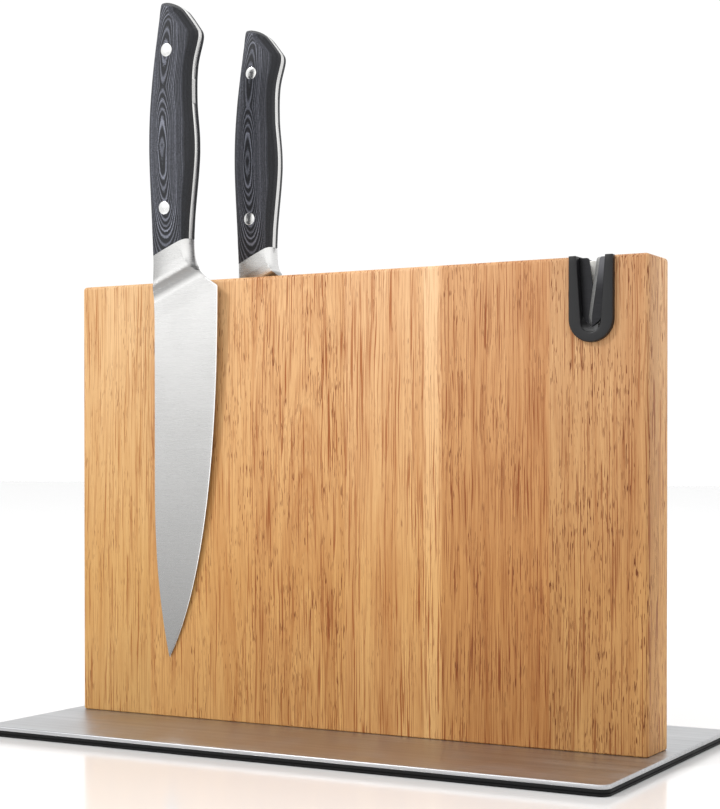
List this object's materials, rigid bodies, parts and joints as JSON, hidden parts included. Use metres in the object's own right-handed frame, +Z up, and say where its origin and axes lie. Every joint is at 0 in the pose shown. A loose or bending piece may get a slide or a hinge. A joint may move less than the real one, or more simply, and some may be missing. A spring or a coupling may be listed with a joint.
{
  "type": "knife block with knives",
  "caption": "Two-sided magnetic knife block: a board of glued wooden staves on a steel base plate, with a pull-through sharpener and a knife held on each face.",
  "frame": {"origin": "middle of the underside of the rubber pad, on the counter", "axes": "+Z up, +X along the board towards the sharpener's end, -Y out of the front face of the board"},
  "size_m": [0.338, 0.17, 0.3796],
  "materials": {
    "board_wood": "oiled edge-glued hardwood staves with a soft sheen",
    "plate_steel": "brushed stainless sheet with a rounded edge",
    "pad_rubber": "black moulded rubber with a grooved edge",
    "screw_steel": "plain steel screw",
    "magnet_nickel": "nickel-plated bar magnet, sealed inside the board",
    "sharpener_plastic": "fine-textured black moulded plastic",
    "sharpening_steel": "dark ground steel plate with a bright bevel",
    "rod_ceramic": "white ceramic with a fine ground surface",
    "blade_steel": "satin stainless blade, bolster and tang",
    "handle_laminate": "matt black layered laminate with contour lines",
    "rivet_steel": "polished domed rivet"
  },
  "bodies": {
    "block": {"base_pad": "pad_rubber", "base_plate": "plate_steel", "base_screw_1": "screw_steel", "base_screw_2": "screw_steel", "base_screw_3": "screw_steel", "base_screw_4": "screw_steel", "ceramic_rod_left": "rod_ceramic", "ceramic_rod_right": "rod_ceramic", "front_magnet_1": "magnet_nickel", "front_magnet_2": "magnet_nickel", "front_magnet_3": "magnet_nickel", "front_magnet_4": "magnet_nickel", "front_magnet_5": "magnet_nickel", "front_magnet_6": "magnet_nickel", "front_magnet_7": "magnet_nickel", "front_magnet_8": "magnet_nickel", "front_stave_1": "board_wood", "front_stave_2": "board_wood", "front_stave_3": "board_wood", "front_stave_4": "board_wood", "front_stave_5": "board_wood", "front_stave_6": "board_wood", "rear_magnet_1": "magnet_nickel", "rear_magnet_2": "magnet_nickel", "rear_magnet_3": "magnet_nickel", "rear_magnet_4": "magnet_nickel", "rear_magnet_5": "magnet_nickel", "rear_magnet_6": "magnet_nickel", "rear_magnet_7": "magnet_nickel", "rear_magnet_8": "magnet_nickel", "rear_stave_1": "board_wood", "rear_stave_2": "board_wood", "rear_stave_3": "board_wood", "rear_stave_4": "board_wood", "rear_stave_5": "board_wood", "rear_stave_6": "board_wood", "sharpener_front_housing": "sharpener_plastic", "sharpener_rear_housing": "sharpener_plastic", "sharpener_screw_left": "screw_steel", "sharpener_screw_right": "screw_steel", "sharpening_plate_left": "sharpening_steel", "sharpening_plate_right": "sharpening_steel"},
    "front_knife": {"front_knife_blade": "blade_steel", "front_knife_inner_scale": "handle_laminate", "front_knife_lower_rivet": "rivet_steel", "front_knife_outer_scale": "handle_laminate", "front_knife_upper_rivet": "rivet_steel"},
    "rear_knife": {"rear_knife_blade": "blade_steel", "rear_knife_inner_scale": "handle_laminate", "rear_knife_lower_rivet": "rivet_steel", "rear_knife_outer_scale": "handle_laminate", "rear_knife_upper_rivet": "rivet_steel"}
  },
  "joints": [
    {"name": "front_knife_pull", "type": "slide", "parent": "block", "child": "front_knife", "axis": [0, -1, 0], "range_m": [0, 0.15]},
    {"name": "rear_knife_pull", "type": "slide", "parent": "block", "child": "rear_knife", "axis": [0, 1, 0], "range_m": [0, 0.15]}
  ]
}
